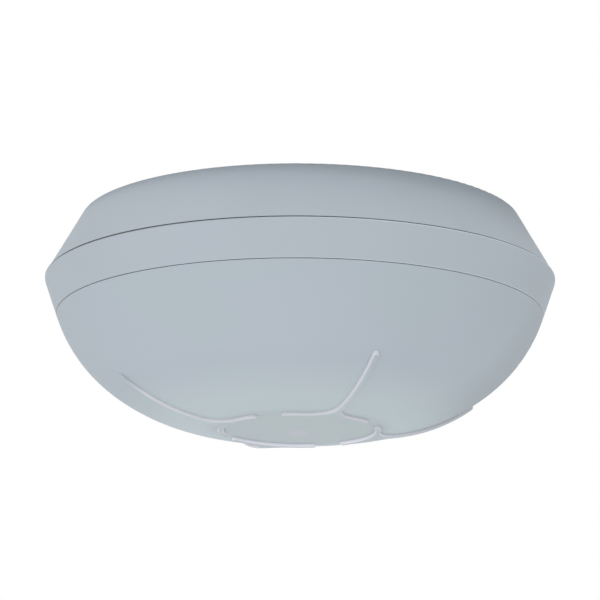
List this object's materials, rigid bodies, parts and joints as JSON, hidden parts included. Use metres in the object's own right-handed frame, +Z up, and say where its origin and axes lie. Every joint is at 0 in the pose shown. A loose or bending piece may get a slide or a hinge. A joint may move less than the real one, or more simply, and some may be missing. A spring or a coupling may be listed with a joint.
{
  "type": "ceiling motion detector",
  "caption": "Round ceiling motion detector: tapered base, twist-off cover ring and shallow moulded lens dome with raised Y ridges, sensors and board inside.",
  "frame": {"origin": "centre of the base's ceiling face, midway between the two box screw holes", "axes": "+Z up into the ceiling, out of the ceiling face; +X along the line of the two box screw holes; +Y towards the wire entry; the dome hangs towards -Z"},
  "size_m": [0.142, 0.142, 0.0599],
  "materials": {
    "housing_plastic": "fine satin moulding, pale cool grey",
    "lens_plastic": "satin, lets heat through, pale cool grey",
    "retainer_plastic": "satin",
    "turret_plastic": "satin",
    "screw_steel": "zinc plated",
    "circuit_board": "green solder resist, half gloss",
    "shield_steel": "tinned",
    "patch_metal": "gold flash",
    "sensor_steel": "nickel plated can",
    "filter_window": "dark coated silicon",
    "terminal_plastic": "moulded green",
    "relay_plastic": "off-white case",
    "black_plastic": "moulded black",
    "capacitor_can": "sleeved can",
    "plunger_plastic": "moulded red",
    "trimmer_plastic": "moulded blue",
    "rotor_plastic": "moulded cream",
    "red_lamp": "diffused",
    "yellow_lamp": "diffused",
    "green_lamp": "diffused"
  },
  "bodies": {
    "base": {"mounting_base": "housing_plastic", "main_board": "circuit_board", "board_screws": "screw_steel", "sensor_turret": "turret_plastic", "turret_screws": "screw_steel", "heat_sensor_1": "sensor_steel", "filter_window_1": "filter_window", "heat_sensor_2": "sensor_steel", "filter_window_2": "filter_window", "heat_sensor_3": "sensor_steel", "filter_window_3": "filter_window", "heat_sensor_4": "sensor_steel", "filter_window_4": "filter_window", "microwave_board": "circuit_board", "microwave_shield": "shield_steel", "antenna_patches": "patch_metal", "microwave_screws": "screw_steel", "terminal_block": "terminal_plastic", "terminal_screws": "screw_steel", "alarm_relay": "relay_plastic", "controller_chip": "black_plastic", "voltage_regulator": "black_plastic", "capacitor_1": "capacitor_can", "capacitor_2": "capacitor_can", "tamper_switch": "black_plastic", "range_trimmer": "trimmer_plastic", "jumper_header": "black_plastic", "jumper_cap": "black_plastic", "walk_test_lamp_red": "red_lamp", "walk_test_lamp_yellow": "yellow_lamp", "walk_test_lamp_green": "green_lamp"},
    "cover": {"cover_ring": "housing_plastic", "lens_dome": "lens_plastic", "lens_retainer": "retainer_plastic", "retainer_screws": "screw_steel"},
    "tamper_plunger": {"tamper_plunger": "plunger_plastic"},
    "trimmer_rotor": {"trimmer_rotor": "rotor_plastic"}
  },
  "joints": [
    {"name": "cover_twist", "type": "hinge", "parent": "base", "child": "cover", "pos_m": [0, 0, 0], "axis": [0, 0, -1], "range_deg": [0, 17]},
    {"name": "tamper_press", "type": "slide", "parent": "base", "child": "tamper_plunger", "axis": [0, 0, 1], "range_m": [0, 0.0006], "stiffness_N_per_m": 300, "springref_m": -0.001},
    {"name": "trimmer_turn", "type": "hinge", "parent": "base", "child": "trimmer_rotor", "pos_m": [-0.03797, -0.02002, -0.0147], "axis": [0, 0, -1], "range_deg": [-135, 135]}
  ]
}
